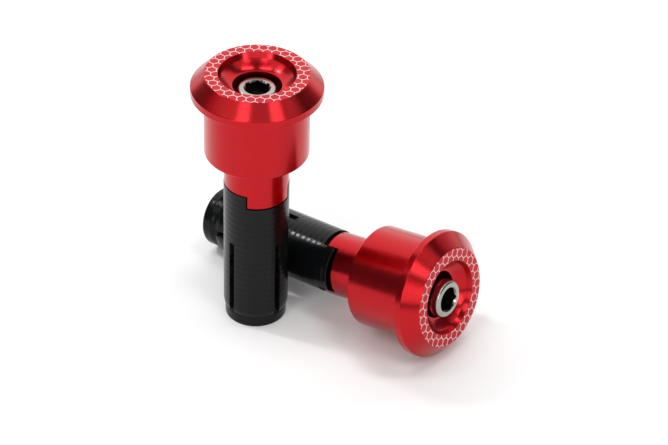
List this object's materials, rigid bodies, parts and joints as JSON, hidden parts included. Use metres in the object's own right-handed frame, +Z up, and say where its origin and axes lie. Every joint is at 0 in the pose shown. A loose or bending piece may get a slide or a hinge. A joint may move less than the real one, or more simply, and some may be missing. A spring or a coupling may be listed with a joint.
{
  "type": "handlebar end plug pair",
  "caption": "Pair of expanding handlebar end plugs: red end cap with a dished recess, socket head clamp screw, slotted black sleeve and cone nut, one standing and one lying behind it.",
  "frame": {"origin": "on the floor, under the middle of the pair's bounding box", "axes": "+Z up, along the standing plug from its cone nut to its flange; the lying plug is behind it towards +Y, its flange towards +X"},
  "size_m": [0.076, 0.0646, 0.075],
  "materials": {
    "red_anodise": "turned, red anodised",
    "black_anodise": "fine turned, satin black anodised",
    "nickel_steel": "nickel plated, knurled head"
  },
  "bodies": {
    "nut_a": {"cone_nut_a": "black_anodise"},
    "plug_a": {"end_cap_a": "red_anodise", "sleeve_tube_a": "black_anodise"},
    "screw_a": {"clamp_screw_a": "nickel_steel"},
    "finger_a1": {"sleeve_finger_a1": "black_anodise"},
    "finger_a2": {"sleeve_finger_a2": "black_anodise"},
    "finger_a3": {"sleeve_finger_a3": "black_anodise"},
    "finger_a4": {"sleeve_finger_a4": "black_anodise"},
    "cap_b": {"end_cap_b": "red_anodise"},
    "sleeve_b": {"sleeve_tube_b": "black_anodise"},
    "nut_b": {"cone_nut_b": "black_anodise"},
    "screw_b": {"clamp_screw_b": "nickel_steel"},
    "finger_b1": {"sleeve_finger_b1": "black_anodise"},
    "finger_b2": {"sleeve_finger_b2": "black_anodise"},
    "finger_b3": {"sleeve_finger_b3": "black_anodise"},
    "finger_b4": {"sleeve_finger_b4": "black_anodise"}
  },
  "joints": [
    {"name": "plug_a_draw", "type": "slide", "parent": "nut_a", "child": "plug_a", "axis": [0, 0, -1], "range_m": [0, 0.002]},
    {"name": "screw_a_turn", "type": "hinge", "parent": "plug_a", "child": "screw_a", "pos_m": [-0.02105, -0.00454, 0.0648], "axis": [0, 0, -1], "range_deg": [0, 720.5]},
    {"name": "finger_a1_flare", "type": "hinge", "parent": "plug_a", "child": "finger_a1", "pos_m": [-0.01403, -0.0047, 0.0257], "axis": [-0.0227, -0.9997, 0], "range_deg": [0, 2.65]},
    {"name": "finger_a2_flare", "type": "hinge", "parent": "plug_a", "child": "finger_a2", "pos_m": [-0.02089, 0.00248, 0.0257], "axis": [0.9997, -0.0227, 0], "range_deg": [0, 2.65]},
    {"name": "finger_a3_flare", "type": "hinge", "parent": "plug_a", "child": "finger_a3", "pos_m": [-0.02807, -0.00439, 0.0257], "axis": [0.0227, 0.9997, 0], "range_deg": [0, 2.65]},
    {"name": "finger_a4_flare", "type": "hinge", "parent": "plug_a", "child": "finger_a4", "pos_m": [-0.02121, -0.01157, 0.0257], "axis": [-0.9997, 0.0227, 0], "range_deg": [0, 2.65]},
    {"name": "pair_apart", "type": "slide", "parent": "nut_a", "child": "cap_b", "axis": [0.6129, 0.7902, 0], "range_m": [0, 0.04]},
    {"name": "screw_b_turn", "type": "hinge", "parent": "cap_b", "child": "screw_b", "pos_m": [0.02485, -0.01702, 0.01637], "axis": [-0.7903, 0.6015, -0.117], "range_deg": [0, 1260.5]},
    {"name": "nut_b_draw", "type": "slide", "parent": "cap_b", "child": "nut_b", "axis": [0.7903, -0.6015, 0.117], "range_m": [0, 0.0035]},
    {"name": "sleeve_b_take_up", "type": "slide", "parent": "cap_b", "child": "sleeve_b", "axis": [0.7868, -0.6103, 0.0914], "range_m": [0, 0.0005]},
    {"name": "finger_b1_flare", "type": "hinge", "parent": "sleeve_b", "child": "finger_b1", "pos_m": [-0.00696, 0.01284, 0.00549], "axis": [-0.4096, -0.6272, -0.6624], "range_deg": [0, 2.65]},
    {"name": "finger_b2_flare", "type": "hinge", "parent": "sleeve_b", "child": "finger_b2", "pos_m": [-0.00732, 0.01385, 0.01536], "axis": [0.4617, 0.4838, -0.7435], "range_deg": [0, 2.65]},
    {"name": "finger_b3_flare", "type": "hinge", "parent": "sleeve_b", "child": "finger_b3", "pos_m": [-0.01344, 0.00604, 0.01593], "axis": [0.4096, 0.6272, 0.6624], "range_deg": [0, 2.65]},
    {"name": "finger_b4_flare", "type": "hinge", "parent": "sleeve_b", "child": "finger_b4", "pos_m": [-0.01308, 0.00503, 0.00605], "axis": [-0.4617, -0.4838, 0.7435], "range_deg": [0, 2.65]}
  ],
  "couplings": [
    {"joint": "screw_a_turn", "follows": "plug_a_draw", "rad_per_m": 6283.2},
    {"joint": "finger_a1_flare", "follows": "plug_a_draw", "rad_per_m": 23.08},
    {"joint": "finger_a2_flare", "follows": "plug_a_draw", "rad_per_m": 23.08},
    {"joint": "finger_a3_flare", "follows": "plug_a_draw", "rad_per_m": 23.08},
    {"joint": "finger_a4_flare", "follows": "plug_a_draw", "rad_per_m": 23.08},
    {"joint": "screw_b_turn", "follows": "nut_b_draw", "rad_per_m": 6283.2},
    {"joint": "finger_b1_flare", "follows": "nut_b_draw", "rad_per_m": 13.189},
    {"joint": "finger_b2_flare", "follows": "nut_b_draw", "rad_per_m": 13.189},
    {"joint": "finger_b3_flare", "follows": "nut_b_draw", "rad_per_m": 13.189},
    {"joint": "finger_b4_flare", "follows": "nut_b_draw", "rad_per_m": 13.189}
  ]
}
